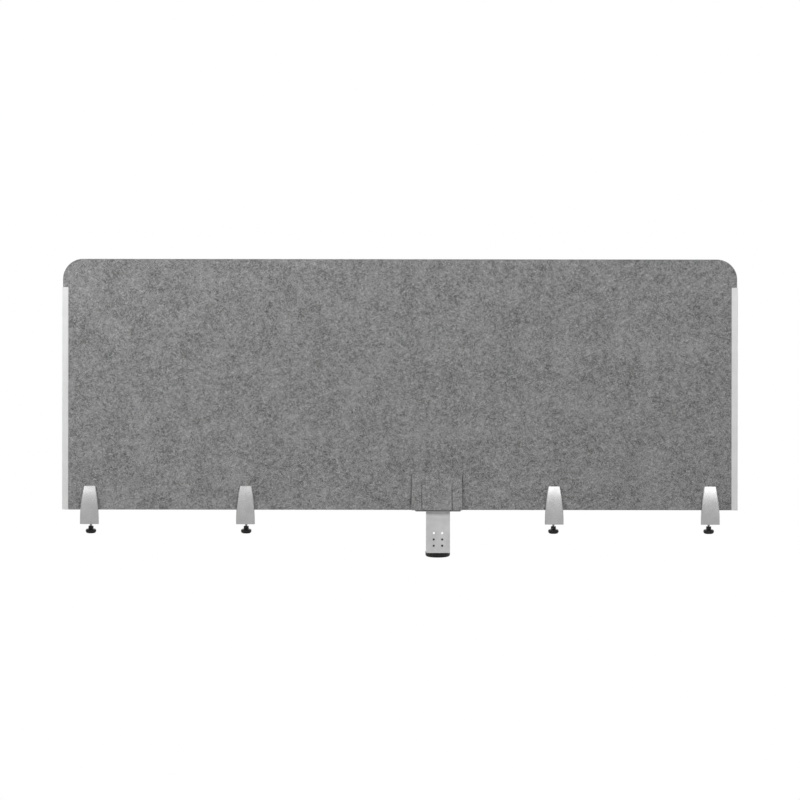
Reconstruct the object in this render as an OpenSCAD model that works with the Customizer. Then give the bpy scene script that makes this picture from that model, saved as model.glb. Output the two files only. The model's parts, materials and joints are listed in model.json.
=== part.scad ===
// Acoustic screen of felt that clamps to the edge of a desktop, with a flap that lets a bracket pass under it.
// X runs along the desk edge, -Y is the outer side of the screen, +Y is over the desktop and Z is up.
// The origin is the middle of the desktop's upper front edge.

/* [Screen] */
// Length of the felt along the desk edge
panel_w = 1600; // [1300:10:2000]
// Height of the felt
panel_h = 595; // [400:1:800]
// Thickness of the felt
panel_t = 12; // [9:0.5:16]
// Radius of the felt's two upper corners
panel_corner_r = 48; // [12:1:60]

/* [Flaps] */
// Distance of the flaps' middle from the middle of the screen
flap_x = 88; // [0:1:200]
// Width of the outer flap's cut-out in the felt's front face
flap_w = 122; // [116:0.5:160]
// Height of the outer flap's cut-out
flap_h = 83; // [75:1:120]
// Width of the inner flap's cut-out in the felt's front face
inner_flap_w = 72; // [68:1:96]
// Height of the inner flap's cut-out
inner_flap_h = 65; // [43:1:69]
// Width of a slit beside a flap
slit_w = 0.4; // [0.35:0.05:0.8]
// Distance by which each slit draws in towards the flap's middle on its way through the felt
slit_slant = 1.2; // [0.8:0.1:1.8]

/* [Edge trims] */
// Width of a trim's face on the felt
trim_face_w = 14.5; // [8:0.5:24]
// Wall of a trim
trim_wall = 1.4; // [1:0.1:2.5]
// Distance from the top of the felt down to a trim's upper end
trim_drop = 67; // [62:1:150]

/* [Desktop] */
// Thickness of the desktop to which the screws are set
desk_t = 22; // [16:0.5:40]

/* [Clamps] */
// Distance from the felt's end to the middle of an outer clamp
clamp_end_x = 64; // [45:1:120]
// Distance from the middle of the screen to the middle of an inner clamp
clamp_inner_x = 366; // [320:1:450]
// Width of the ear at its lower end
ear_w = 44.4; // [40:0.2:56]
// Width of the ear at its upper end
ear_top_w = 29; // [24:0.5:36]
// Height of the ear above the desktop
ear_h = 61; // [52:1:80]
// Thickness of the ear at the desktop
ear_t = 9; // [7:0.5:14]
// Thickness of the ear at its upper end
ear_top_t = 3; // [2:0.5:5]
// Bevel along the ear's front edges
ear_bevel = 2; // [1:0.2:3]
// Depth of the ear below the desktop's underside
chin_h = 8; // [7:0.5:14]
// Distance from the desk edge to the clamp screw
screw_y = 24; // [20:1:36]
// Radius of the lower jaw's round end
jaw_end_r = 13; // [11:0.5:16]
// Width of the upper jaw and the rear ear
rear_w = 30; // [26:1:36]
// Height of the rear ear above the desktop
rear_h = 44; // [40:1:50]
// Thickness of the rear ear
rear_t = 5; // [4:0.5:8]
// Length of the upper jaw behind the rear ear
heel_l = 22; // [14:1:40]

/* [Clamp screws] */
// Radius of the clamp screw
screw_r = 3; // [2.5:0.5:4]
// Free length of the screw between lower jaw and knob
screw_free_l = 7.4; // [7:0.2:14]
// Radius of the knob's hub
knob_hub_r = 6; // [5.5:0.5:8]
// Height of the knob's hub
knob_hub_h = 7; // [4:0.5:12]
// Radius of the knob's grip
knob_r = 12.6; // [10.5:0.2:18]
// Height of the knob's grip
knob_h = 10.5; // [7:0.5:16]
// Radius of the pressure foot
foot_r = 8; // [6:0.5:9]

/* [Middle bracket] */
// Distance of the bracket's middle from the flaps' middle
bracket_shift = 2.5; // [-3:0.5:3]
// Width of the base plate on the desktop
base_w = 108; // [80:1:110]
// Depth of the base plate from the desk edge
base_l = 88; // [70:1:120]
// Thickness of the bracket's sheet metal
sheet_t = 3; // [2:0.5:4]
// Width of the tab that is bent down over the desk edge
tab_w = 57; // [50:0.5:58]
// Depth of the tab's lower end below the desktop
tab_drop = 98; // [96:1:130]
// Depth of the highest row of holes below the desktop
hole_row_z = 51; // [47:1:53]
// Distance between rows of holes
hole_pitch_z = 15; // [14:0.5:16]
// Distance between the two columns of holes
hole_pitch_x = 20; // [16:0.5:26]
// Radius of a hole in the tab
hole_r = 2.75; // [2.5:0.05:3.2]
// Radius of the bracket's clamp screw
bracket_screw_r = 4; // [3:0.5:5]
// Distance from the desk edge to the bracket's clamp screw
bracket_screw_y = 35; // [34:1:44]
// Radius of the bracket's knob
bracket_knob_r = 29.5; // [24:0.5:32]
// Height of the bracket's knob
bracket_knob_h = 13; // [9:0.5:18]
// Radius of the bracket's pressure foot
bracket_foot_r = 20; // [14:0.5:24]

/* [Hidden] */
// Overrun of every cut past the faces that it opens
over = 1;
// Radial clearance of a screw that turns in its bore
turn_fit = 0.06;
// Radial clearance of a screw that is fixed in its knob or plate
fixed_fit = 0.02;
// Clearance between faces that move past each other
move_gap = 0.3;
round_fn = 96;
wide_fn = 360;

// Clamp values below the ones that can be set
front_pad_t = 1;
desk_pad_t = 1;
upper_jaw_t = 2.5;
grip_t = 2;
grip_w = 24;
grip_h = 34;
grip_corner_r = 3;
grip_lift = 0.5;
set_screw_r = 2.5;
set_screw_gap = 4;
set_screw_out = 1;
set_key_r = 1.45;
set_key_depth = 2.6;
boss_r = 5.5;
boss_h = 2;
heel_corner_r = 5;
rib_t = 3;
rib_inset = 1;
jaw_gap = 2;
jaw_tip_rise = 1.2;
foot_t = 1.8;
foot_socket_depth = 1;
foot_sink = 1.6;
foot_edge = 0.6;
knob_neck_r = 3;
knob_edge_r = 3;
knob_flute_r = 2.2;
knob_flute_depth = 0.7;
knob_flutes = 12;
screw_in_knob = 12;
pad_inset = 2;
pad_corner_r = 2;

// Bracket values below the ones that can be set
foam_t = 1.5;
foam_inset = 3;
tab_gap = 1;
bend_r = 1.5;
base_corner_r = 6;
tab_corner_r = 2.5;
relief_r = 1.75;
relief_l = 4;
arm_hole_r = 3.25;
arm_pitch_x = 60;
arm_hole_y = 24;
arm_edge_y = 20;
foam_hole_play = 1.75;
jaw_flange_up = 7.5;
jaw_w = 50;
leg_rise = 3;
nut_af_r = 7.5;
nut_h = 6.5;
bolt_r = 2.45;
bolt_head_r = 4.5;
bolt_head_h = 2.6;
bolt_key_r = 1.6;
bolt_key_depth = 1.4;
bolt_short = 0.8;
bracket_foot_t = 5;
bracket_socket_depth = 3;
bracket_foot_edge = 1.2;
bracket_hub_r = 11;
bracket_hub_h = 1;
bracket_edge_r = 4;
bracket_flute_r = 3.4;
bracket_flute_depth = 1;
bracket_flutes = 20;
screw_in_bracket_knob = 9;

// Places across the desk edge
panel_front = front_pad_t;
panel_back = panel_front + panel_t;
grip_back = panel_back + grip_t;
rear_front = grip_back + set_screw_gap;
rear_back = rear_front + rear_t;
heel_end = rear_back + heel_l;

// Heights
panel_foot = desk_pad_t + upper_jaw_t;
panel_top = panel_foot + panel_h;
crease_z = panel_foot + flap_h;
inner_crease_z = panel_foot + inner_flap_h;
ear_foot_z = -(desk_t + chin_h);
ear_full_h = ear_h - ear_foot_z;
jaw_top_z = -(desk_t + jaw_gap);
knob_top_z = ear_foot_z - screw_free_l;
knob_grip_z = knob_top_z - knob_hub_h;
knob_foot_z = knob_grip_z - knob_h;
set_screw_zs = [for (share = [0.33, 0.72]) panel_foot + share * (rear_h - panel_foot)];

// Arcs of the ear's front, sides and bevels, and the height at which a bevel's arc stands upright
front_arc_r = arc_radius(ear_t - ear_top_t, ear_h);
side_arc_r = arc_radius((ear_w - ear_top_w) / 2, ear_full_h);
bevel_arc_r = sqrt(2) / (1 / front_arc_r + 1 / side_arc_r);
bevel_up = -ear_foot_z * side_arc_r / (front_arc_r + side_arc_r);

// Bracket places
bracket_x = flap_x + bracket_shift;
base_z = foam_t;
base_top_z = foam_t + sheet_t;
tab_front = -(tab_gap + sheet_t);
bend_y = bend_r - tab_gap;
bend_z = foam_t - bend_r;
bend_out_r = bend_r + sheet_t;
arm_pitch_y = base_l - arm_hole_y - arm_edge_y;
hole_rows = [0, 1, 2];
bolt_rows = [1, 2];
jaw_leg_foot_z = leg_rise - tab_drop;
jaw_leg_top_z = jaw_leg_foot_z + sheet_t;
jaw_flange_top_z = jaw_flange_up - hole_row_z - hole_pitch_z;
jaw_bend_y = sheet_t - tab_gap + bend_r;
jaw_bend_z = jaw_leg_top_z + bend_r;
bracket_foot_z = -(desk_t + bracket_foot_t);
bracket_knob_top_z = -tab_drop;
bracket_knob_foot_z = bracket_knob_top_z - bracket_knob_h;

// The outer flap leans on the front edge of the base plate, and the inner one on the bracket's round bend
flap_tilt = lean_angle(panel_front, crease_z, bend_y, base_top_z, 0);
inner_hinge_y = panel_front - (flap_h - inner_flap_h) * sin(flap_tilt);
inner_hinge_z = crease_z - (flap_h - inner_flap_h) * cos(flap_tilt);
inner_tilt = lean_angle(inner_hinge_y, inner_hinge_z, bend_y, bend_z, bend_out_r) - flap_tilt;

clamp_xs = [clamp_end_x - panel_w / 2, -clamp_inner_x, clamp_inner_x, panel_w / 2 - clamp_end_x];

PANEL_NODES = ["felt_panel", "outer_flap", "inner_flap", "left_edge_trim", "right_edge_trim"];
CLAMP_PARTS = ["body", "front_pad", "pressure_plate", "set_screws", "desk_pad", "foot", "screw", "knob"];
BRACKET_NODES = ["bracket_plate", "bracket_foam", "bracket_jaw", "bracket_bolts", "bracket_nut",
    "bracket_foot", "bracket_screw", "bracket_knob"];
CLAMP_NODES = [for (i = [1:len(clamp_xs)]) for (p = CLAMP_PARTS) str("clamp_", i, "_", p)];

felt_colour = "#838383";
trim_colour = "#e2e2e2";
satin_colour = "#b5b5b5";
steel_colour = "#8f8f8f";
plate_colour = "#bcbcbc";
black_colour = "#151515";

// Radius of the arc that leaves a straight line and has drawn in by depth over a length
function arc_radius(depth, length) = (pow(length, 2) + pow(depth, 2)) / (2 * depth);

// Angle at which the back of a flap that hangs at (y, z) just clears a round of radius r about (round_y, round_z)
function lean_angle(y, z, round_y, round_z, r) =
    atan2(z - round_z, round_y - y)
    - acos((panel_t + move_gap + r) / sqrt(pow(round_y - y, 2) + pow(z - round_z, 2)));

// An outline in X and Z, made solid from y0 backwards over a thickness
module upright(y0, thickness) {
    translate([0, y0 + thickness, 0]) rotate([90, 0, 0]) linear_extrude(thickness) children();
}

// An outline in Y and Z, made solid across X about the middle
module across(width) {
    translate([-width / 2, 0, 0]) rotate([90, 0, 90]) linear_extrude(width) children();
}

// A rectangle about the middle in X that starts at y0, with round corners
module round_rect(width, y0, height, r) {
    translate([-width / 2, y0 + r]) square([width, height - 2 * r]);
    translate([r - width / 2, y0]) square([width - 2 * r, height]);
    for (x = [r - width / 2, width / 2 - r], y = [y0 + r, y0 + height - r])
        translate([x, y]) circle(r, $fn = round_fn);
}

// Felt and flaps

// The panel, which stands on the clamps' upper jaws
module felt_panel() {
    r = panel_corner_r;
    color(felt_colour) difference() {
        upright(panel_front, panel_t) {
            translate([-panel_w / 2, panel_foot]) square([panel_w, panel_h - r]);
            translate([r - panel_w / 2, panel_foot]) square([panel_w - 2 * r, panel_h]);
            for (x = [r - panel_w / 2, panel_w / 2 - r])
                translate([x, panel_top - r]) circle(r, $fn = round_fn);
        }
        tongue(flap_w, crease_z, over);
    }
}

// A block that narrows towards the back, so that it swings out of a like cut-out: width is the one in the
// felt's front face, and extra carries the block on past the felt's faces and its lower edge
module tongue(width, top, extra) {
    draw_in = slit_slant / panel_t;
    near = width / 2 + extra * draw_in;
    far = width / 2 - (panel_t + extra) * draw_in;
    translate([flap_x, panel_front, panel_foot - extra]) linear_extrude(top - panel_foot + extra)
        polygon([[-near, -extra], [near, -extra], [far, panel_t + extra], [-far, panel_t + extra]]);
}

// Leans a piece out about the felt's front face at a crease
module lean(z, angle) {
    translate([0, panel_front, z]) rotate([-angle, 0, 0]) translate([0, -panel_front, -z]) children();
}

module outer_flap() {
    color(felt_colour) lean(crease_z, flap_tilt) difference() {
        tongue(flap_w - 2 * slit_w, crease_z - move_gap, 0);
        tongue(inner_flap_w, inner_crease_z, over);
    }
}

module inner_flap() {
    color(felt_colour) lean(crease_z, flap_tilt) lean(inner_crease_z, inner_tilt)
        tongue(inner_flap_w - 2 * slit_w, inner_crease_z - move_gap, 0);
}

// Edge trims

// Cross-section of a trim for the right-hand end: a U that opens towards -X, with round outer corners
module trim_section() {
    out = panel_w / 2 + trim_wall;
    depth = panel_t + 2 * trim_wall;
    y0 = panel_front - trim_wall;
    difference() {
        union() {
            translate([out - trim_face_w, y0]) square([trim_face_w - trim_wall, depth]);
            translate([out - 2 * trim_wall, y0 + trim_wall]) square([2 * trim_wall, panel_t]);
            for (y = [y0 + trim_wall, y0 + depth - trim_wall])
                translate([out - trim_wall, y]) circle(trim_wall, $fn = round_fn);
        }
        translate([out - trim_face_w - over, panel_front]) square([trim_face_w + over - trim_wall, panel_t]);
    }
}

module edge_trim() {
    color(trim_colour) translate([0, 0, panel_foot]) linear_extrude(panel_h - trim_drop) trim_section();
}

// Clamps, each drawn about x = 0

// A cylinder lying along Y whose surface is the ear's curved side, for side -1 or 1
module ear_side(side) {
    translate([side * (ear_w / 2 - side_arc_r), over, ear_foot_z]) rotate([90, 0, 0])
        cylinder(r = side_arc_r, h = ear_t + 2 * over, $fn = wide_fn);
}

// The same for the bevel between front and side, turned to face the corner, whose arc adds up the other two
module ear_corner(side) {
    half_w = ear_w / 2 - pow(bevel_up, 2) / (2 * side_arc_r);
    depth = ear_t - pow(bevel_up + ear_foot_z, 2) / (2 * front_arc_r);
    reach = (half_w + depth - ear_bevel) / sqrt(2) - bevel_arc_r;
    rotate([0, 0, -side * 45]) translate([side * reach, 0, ear_foot_z + bevel_up]) rotate([90, 0, 0])
        cylinder(r = bevel_arc_r, h = 2 * ear_w, center = true, $fn = wide_fn);
}

// The ear: its front bulges at the desktop and leans back to a thin upper end
module ear() {
    difference() {
        intersection() {
            translate([-ear_w / 2, -ear_t, ear_foot_z]) cube([ear_w, ear_t, ear_full_h]);
            translate([-ear_w / 2 - over, front_arc_r - ear_t, 0]) rotate([0, 90, 0])
                cylinder(r = front_arc_r, h = ear_w + 2 * over, $fn = wide_fn);
            ear_side(-1);
            ear_side(1);
            ear_corner(-1);
            ear_corner(1);
        }
        translate([0, -ear_top_t, ear_h]) rotate([45, 0, 0])
            cube([ear_w, ear_bevel, ear_bevel], center = true);
    }
}

// The lower jaw: drawn in towards a round end about the screw, thinner at the tip
module lower_jaw() {
    tip = screw_y + jaw_end_r;
    intersection() {
        translate([0, 0, ear_foot_z]) linear_extrude(chin_h - jaw_gap) {
            polygon([[-ear_w / 2 + ear_bevel, -ear_bevel], [ear_w / 2 - ear_bevel, -ear_bevel],
                [jaw_end_r, screw_y], [-jaw_end_r, screw_y]]);
            translate([0, screw_y]) circle(jaw_end_r, $fn = round_fn);
        }
        across(ear_w) polygon([[-ear_bevel, ear_foot_z], [0, ear_foot_z], [tip, ear_foot_z + jaw_tip_rise],
            [tip, jaw_top_z], [-ear_bevel, jaw_top_z]]);
    }
}

// The upper jaw with the rear ear and its two ribs
module upper_jaw() {
    z0 = desk_pad_t;
    rib_foot = heel_end - 2 * rib_t;
    translate([0, 0, z0]) linear_extrude(upper_jaw_t) {
        translate([-rear_w / 2, -ear_top_t]) square([rear_w, heel_end + ear_top_t - heel_corner_r]);
        round_rect(rear_w, rear_front, heel_end - rear_front, heel_corner_r);
    }
    upright(rear_front, rear_t) {
        translate([-rear_w / 2, z0]) square([rear_w, rear_h - z0 - rear_w / 2]);
        translate([0, rear_h - rear_w / 2]) circle(rear_w / 2, $fn = round_fn);
    }
    for (side = [-1, 1])
        translate([side * (rear_w / 2 - rib_inset - rib_t / 2), 0, 0]) across(rib_t)
            polygon([[rear_front, z0], [rib_foot, z0], [rib_foot, panel_foot + rib_t / 2],
                [rear_back, rear_h - rear_w / 2], [rear_front, rear_h - rear_w / 2]]);
    for (z = set_screw_zs)
        upright(rear_front, rear_t + boss_h) translate([0, z]) circle(boss_r, $fn = round_fn);
}

module clamp_body() {
    color(satin_colour) difference() {
        union() {
            ear();
            lower_jaw();
            upper_jaw();
        }
        translate([0, screw_y, ear_foot_z - over])
            cylinder(r = screw_r + turn_fit, h = chin_h + over, $fn = round_fn);
        translate([0, screw_y, jaw_top_z - foot_sink])
            cylinder(r = foot_r + move_gap, h = foot_sink + over, $fn = round_fn);
        for (z = set_screw_zs)
            upright(rear_front - over, rear_t + boss_h + 2 * over)
                translate([0, z]) circle(set_screw_r + fixed_fit, $fn = round_fn);
    }
}

module front_pad() {
    color(black_colour) upright(0, front_pad_t)
        round_rect(grip_w, panel_foot + pad_inset, ear_h - panel_foot - 3 * pad_inset, pad_corner_r);
}

module pressure_plate() {
    color(steel_colour) upright(panel_back, grip_t)
        round_rect(grip_w, panel_foot + grip_lift, grip_h, grip_corner_r);
}

// Two set screws with hexagon sockets that press the plate against the felt
module set_screws() {
    length = rear_back + boss_h + set_screw_out - grip_back;
    color(steel_colour) for (z = set_screw_zs)
        translate([0, grip_back + length, z]) rotate([90, 0, 0]) difference() {
            cylinder(r = set_screw_r, h = length, $fn = round_fn);
            translate([0, 0, -over]) cylinder(r = set_key_r, h = set_key_depth + over, $fn = 6);
        }
}

module desk_pad() {
    color(black_colour) linear_extrude(desk_pad_t)
        round_rect(rear_w - pad_inset, pad_inset, heel_end - 2 * pad_inset, pad_corner_r);
}

// Round foot that presses up against the desktop, turned on the tip of the screw
module clamp_foot() {
    color(black_colour) translate([0, screw_y, -(desk_t + foot_t)]) rotate_extrude($fn = round_fn)
        polygon([[0, foot_socket_depth], [screw_r + turn_fit, foot_socket_depth], [screw_r + turn_fit, 0],
            [foot_r, 0], [foot_r, foot_t - foot_edge], [foot_r - foot_edge, foot_t], [0, foot_t]]);
}

module clamp_screw() {
    top = -(desk_t + foot_t) + foot_socket_depth - turn_fit;
    color(steel_colour) translate([0, screw_y, knob_top_z - screw_in_knob])
        cylinder(r = screw_r, h = top - knob_top_z + screw_in_knob, $fn = round_fn);
}

// A grip whose rim is round on both edges and cut by flutes
module fluted_grip(r, height, edge_r, flutes, flute_r, flute_depth) {
    difference() {
        rotate_extrude($fn = round_fn) {
            square([r - edge_r, height]);
            translate([0, edge_r]) square([r, height - 2 * edge_r]);
            for (z = [edge_r, height - edge_r]) translate([r - edge_r, z]) circle(edge_r, $fn = round_fn);
        }
        for (i = [0:flutes - 1])
            rotate(i * 360 / flutes) translate([r + flute_r - flute_depth, 0, -over])
                cylinder(r = flute_r, h = height + 2 * over, $fn = round_fn);
    }
}

module clamp_knob() {
    color(black_colour) translate([0, screw_y, knob_foot_z]) difference() {
        union() {
            fluted_grip(knob_r, knob_h, knob_edge_r, knob_flutes, knob_flute_r, knob_flute_depth);
            rotate_extrude($fn = round_fn) difference() {
                translate([0, knob_h - over]) square([knob_hub_r + knob_neck_r, over + knob_neck_r]);
                translate([knob_hub_r + knob_neck_r, knob_h + knob_neck_r]) circle(knob_neck_r, $fn = round_fn);
            }
            cylinder(r = knob_hub_r, h = knob_h + knob_hub_h, $fn = round_fn);
        }
        translate([0, 0, knob_h + knob_hub_h - screw_in_knob])
            cylinder(r = screw_r + fixed_fit, h = screw_in_knob + over, $fn = round_fn);
    }
}

// One sub-part of one clamp, by its name
module clamp_part(part) {
    if (part == "body") clamp_body();
    if (part == "front_pad") front_pad();
    if (part == "pressure_plate") pressure_plate();
    if (part == "set_screws") set_screws();
    if (part == "desk_pad") desk_pad();
    if (part == "foot") clamp_foot();
    if (part == "screw") clamp_screw();
    if (part == "knob") clamp_knob();
}

// Middle bracket, each piece drawn about x = 0

// A quarter ring of bent sheet in Y and Z, on the lower or the upper outer side
module sheet_bend(y, z, upper) {
    translate([y, z]) difference() {
        circle(bend_out_r, $fn = round_fn);
        circle(bend_r, $fn = round_fn);
        translate([0, -2 * bend_out_r]) square([2 * bend_out_r, 4 * bend_out_r]);
        translate([-2 * bend_out_r, upper ? -2 * bend_out_r : 0]) square([4 * bend_out_r, 2 * bend_out_r]);
    }
}

// The pairs of holes in the tab and the lower jaw, for a list of rows
module hole_grid(rows, r) {
    for (row = rows, x = [-hole_pitch_x / 2, hole_pitch_x / 2])
        translate([x, -hole_row_z - row * hole_pitch_z]) circle(r, $fn = round_fn);
}

module bracket_plate() {
    color(plate_colour) difference() {
        union() {
            across(tab_w) sheet_bend(bend_y, bend_z, true);
            translate([0, 0, base_z]) linear_extrude(sheet_t) {
                round_rect(base_w, bend_y, base_l - bend_y, base_corner_r);
                translate([-base_w / 2, bend_y]) square([base_w, 2 * base_corner_r]);
            }
            upright(tab_front, sheet_t) {
                round_rect(tab_w, -tab_drop, tab_drop / 2, tab_corner_r);
                translate([-tab_w / 2, tab_corner_r - tab_drop])
                    square([tab_w, tab_drop - tab_corner_r + bend_z]);
            }
        }
        upright(tab_front - over, sheet_t + 2 * over) hole_grid(hole_rows, hole_r);
        for (side = [-1, 1]) translate([side * (tab_w / 2 + relief_r), bend_y, base_z - over]) {
            translate([-relief_r, -over, 0]) cube([2 * relief_r, relief_l + over, sheet_t + 2 * over]);
            translate([0, relief_l, 0]) cylinder(r = relief_r, h = sheet_t + 2 * over, $fn = round_fn);
        }
        for (x = [-arm_pitch_x / 2, arm_pitch_x / 2], y = [0, arm_pitch_y])
            translate([x, arm_hole_y + y, base_z - over])
                cylinder(r = arm_hole_r, h = sheet_t + 2 * over, $fn = round_fn);
    }
}

module bracket_foam() {
    color(black_colour) linear_extrude(foam_t) difference() {
        round_rect(base_w, bend_y, base_l - bend_y - foam_inset, base_corner_r);
        for (x = [-arm_pitch_x / 2, arm_pitch_x / 2], y = [0, arm_pitch_y])
            translate([x, arm_hole_y + y]) circle(arm_hole_r + foam_hole_play, $fn = round_fn);
    }
}

module bracket_jaw() {
    flange_h = jaw_flange_top_z - jaw_bend_z;
    color(plate_colour) difference() {
        union() {
            across(jaw_w) sheet_bend(jaw_bend_y, jaw_bend_z, false);
            upright(-tab_gap, sheet_t) {
                translate([-jaw_w / 2, jaw_bend_z]) square([jaw_w, flange_h - tab_corner_r]);
                round_rect(jaw_w, jaw_bend_z + flange_h / 2, flange_h / 2, tab_corner_r);
            }
            translate([0, 0, jaw_leg_foot_z]) linear_extrude(sheet_t) {
                translate([-jaw_w / 2, jaw_bend_y]) square([jaw_w, bracket_screw_y - jaw_bend_y]);
                translate([0, bracket_screw_y]) circle(jaw_w / 2, $fn = round_fn);
            }
        }
        upright(-tab_gap - over, sheet_t + 2 * over) hole_grid(bolt_rows, bolt_r + turn_fit);
        translate([0, bracket_screw_y, jaw_leg_foot_z - over])
            cylinder(r = bracket_screw_r + turn_fit, h = sheet_t + 2 * over, $fn = round_fn);
    }
}

// Four bolts put in from behind the lower jaw, whose dark ends show in the tab's holes
module bracket_bolts() {
    shank = 2 * sheet_t - bolt_short;
    back = sheet_t - tab_gap;
    color(black_colour) for (row = bolt_rows, x = [-hole_pitch_x / 2, hole_pitch_x / 2])
        translate([x, back + bolt_head_h, -hole_row_z - row * hole_pitch_z]) rotate([90, 0, 0]) difference() {
            union() {
                cylinder(r = bolt_head_r, h = bolt_head_h, $fn = round_fn);
                cylinder(r = bolt_r, h = bolt_head_h + shank, $fn = round_fn);
            }
            translate([0, 0, -over]) cylinder(r = bolt_key_r, h = bolt_key_depth + over, $fn = 6);
        }
}

// Nut welded on the lower jaw
module bracket_nut() {
    color(steel_colour) translate([0, bracket_screw_y, jaw_leg_top_z]) difference() {
        cylinder(r = nut_af_r, h = nut_h, $fn = 6);
        translate([0, 0, -over])
            cylinder(r = bracket_screw_r + turn_fit, h = nut_h + 2 * over, $fn = round_fn);
    }
}

module bracket_foot() {
    in_r = bracket_screw_r + turn_fit;
    r = bracket_foot_r;
    edge = bracket_foot_edge;
    color(black_colour) translate([0, bracket_screw_y, bracket_foot_z]) rotate_extrude($fn = round_fn)
        polygon([[0, bracket_socket_depth], [in_r, bracket_socket_depth], [in_r, 0],
            [2 * bracket_screw_r, 0], [r, bracket_foot_t / 2], [r, bracket_foot_t - edge],
            [r - edge, bracket_foot_t], [0, bracket_foot_t]]);
}

module bracket_screw() {
    top = bracket_foot_z + bracket_socket_depth - turn_fit;
    low = bracket_knob_top_z - screw_in_bracket_knob;
    color(steel_colour) translate([0, bracket_screw_y, low])
        cylinder(r = bracket_screw_r, h = top - low, $fn = round_fn);
}

module bracket_knob() {
    color(black_colour) translate([0, bracket_screw_y, bracket_knob_foot_z]) difference() {
        union() {
            fluted_grip(bracket_knob_r, bracket_knob_h, bracket_edge_r, bracket_flutes, bracket_flute_r,
                bracket_flute_depth);
            cylinder(r = bracket_hub_r, h = bracket_knob_h + bracket_hub_h, $fn = round_fn);
        }
        translate([0, 0, bracket_knob_h - screw_in_bracket_knob])
            cylinder(r = bracket_screw_r + fixed_fit, h = screw_in_bracket_knob + bracket_hub_h + over,
                $fn = round_fn);
    }
}

felt_panel();
outer_flap();
inner_flap();
mirror([1, 0, 0]) edge_trim();  // left_edge_trim
edge_trim();  // right_edge_trim
for (i = [1:len(clamp_xs)], part = CLAMP_PARTS)
    translate([clamp_xs[i - 1], 0, 0]) clamp_part(part);
translate([bracket_x, 0, 0]) bracket_plate();
translate([bracket_x, 0, 0]) bracket_foam();
translate([bracket_x, 0, 0]) bracket_jaw();
translate([bracket_x, 0, 0]) bracket_bolts();
translate([bracket_x, 0, 0]) bracket_nut();
translate([bracket_x, 0, 0]) bracket_foot();
translate([bracket_x, 0, 0]) bracket_screw();
translate([bracket_x, 0, 0]) bracket_knob();
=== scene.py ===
"""Looks of a desk screen: heather felt with two flaps, white trims, four satin clamps and a bent bracket."""
import json
import math

import bmesh
import bpy
import numpy as np
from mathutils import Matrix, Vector

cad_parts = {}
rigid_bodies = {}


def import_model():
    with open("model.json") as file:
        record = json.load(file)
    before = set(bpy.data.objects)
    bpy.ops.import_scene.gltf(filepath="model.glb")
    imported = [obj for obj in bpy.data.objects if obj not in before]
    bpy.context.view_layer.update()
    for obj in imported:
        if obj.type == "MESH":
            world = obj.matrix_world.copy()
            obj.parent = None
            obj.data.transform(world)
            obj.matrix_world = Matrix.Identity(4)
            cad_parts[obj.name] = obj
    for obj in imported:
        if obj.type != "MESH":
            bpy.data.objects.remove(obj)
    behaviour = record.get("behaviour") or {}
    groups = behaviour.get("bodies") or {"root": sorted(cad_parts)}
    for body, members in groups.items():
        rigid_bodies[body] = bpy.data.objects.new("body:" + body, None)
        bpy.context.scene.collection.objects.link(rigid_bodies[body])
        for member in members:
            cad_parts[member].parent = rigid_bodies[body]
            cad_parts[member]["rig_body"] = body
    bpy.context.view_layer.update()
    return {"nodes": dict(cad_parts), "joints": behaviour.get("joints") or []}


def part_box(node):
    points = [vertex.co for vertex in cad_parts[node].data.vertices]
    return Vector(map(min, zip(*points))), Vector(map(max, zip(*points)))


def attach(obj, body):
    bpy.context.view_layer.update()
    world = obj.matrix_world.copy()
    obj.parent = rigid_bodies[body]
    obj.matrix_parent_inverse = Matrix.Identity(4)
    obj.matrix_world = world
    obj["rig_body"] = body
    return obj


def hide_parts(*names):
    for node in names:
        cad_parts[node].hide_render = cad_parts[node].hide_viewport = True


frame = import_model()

NODES = frame["nodes"]
CLAMPS = ["clamp_1", "clamp_2", "clamp_3", "clamp_4"]
MM = 0.001
TINY = 1e-6

# Edges: steps of a quarter round, and the flat rim beside it as a share of its radius.
# Two sides whose angle has a squared sine under NEARLY_STRAIGHT count as one line. Angles are in degrees.
EDGE_STEPS = 5
RIM_SHARE = 0.3
NEARLY_STRAIGHT = 1e-4
SMOOTH_ANGLE = 35
CAD_SMOOTH_ANGLE = 30
THREAD_SMOOTH_ANGLE = 60
FLAT_ANGLE = 0.2
BEVEL_ANGLE = 35
BEVEL_SEGMENTS = 2

# Felt. SLIT_ROUND widens the rounds along a slit, and a face is a front one where its normal's Y is under
# -FORWARD_LIMIT.
FELT_EDGE = 0.8 * MM
FELT_CORNER_R = 48 * MM
FELT_CORNER_STEPS = 32
FLAP_X = 88 * MM
FLAP_W = 122 * MM
FLAP_H = 83 * MM
INNER_FLAP_W = 72 * MM
INNER_FLAP_H = 65 * MM
SLIT_W = 0.6 * MM
SLIT_SLANT = 1.2 * MM
SLIT_ROUND = 1.8
FORWARD_LIMIT = 0.5

# Trims: radii of the section's corners in millimetres, from the front lip round, and of the two ends
TRIM_RADII = (0.45, 1.4, 1.4, 0.45, 0.3, 0.2, 0.2, 0.3)
TRIM_END_R = 0.175 * MM

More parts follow.
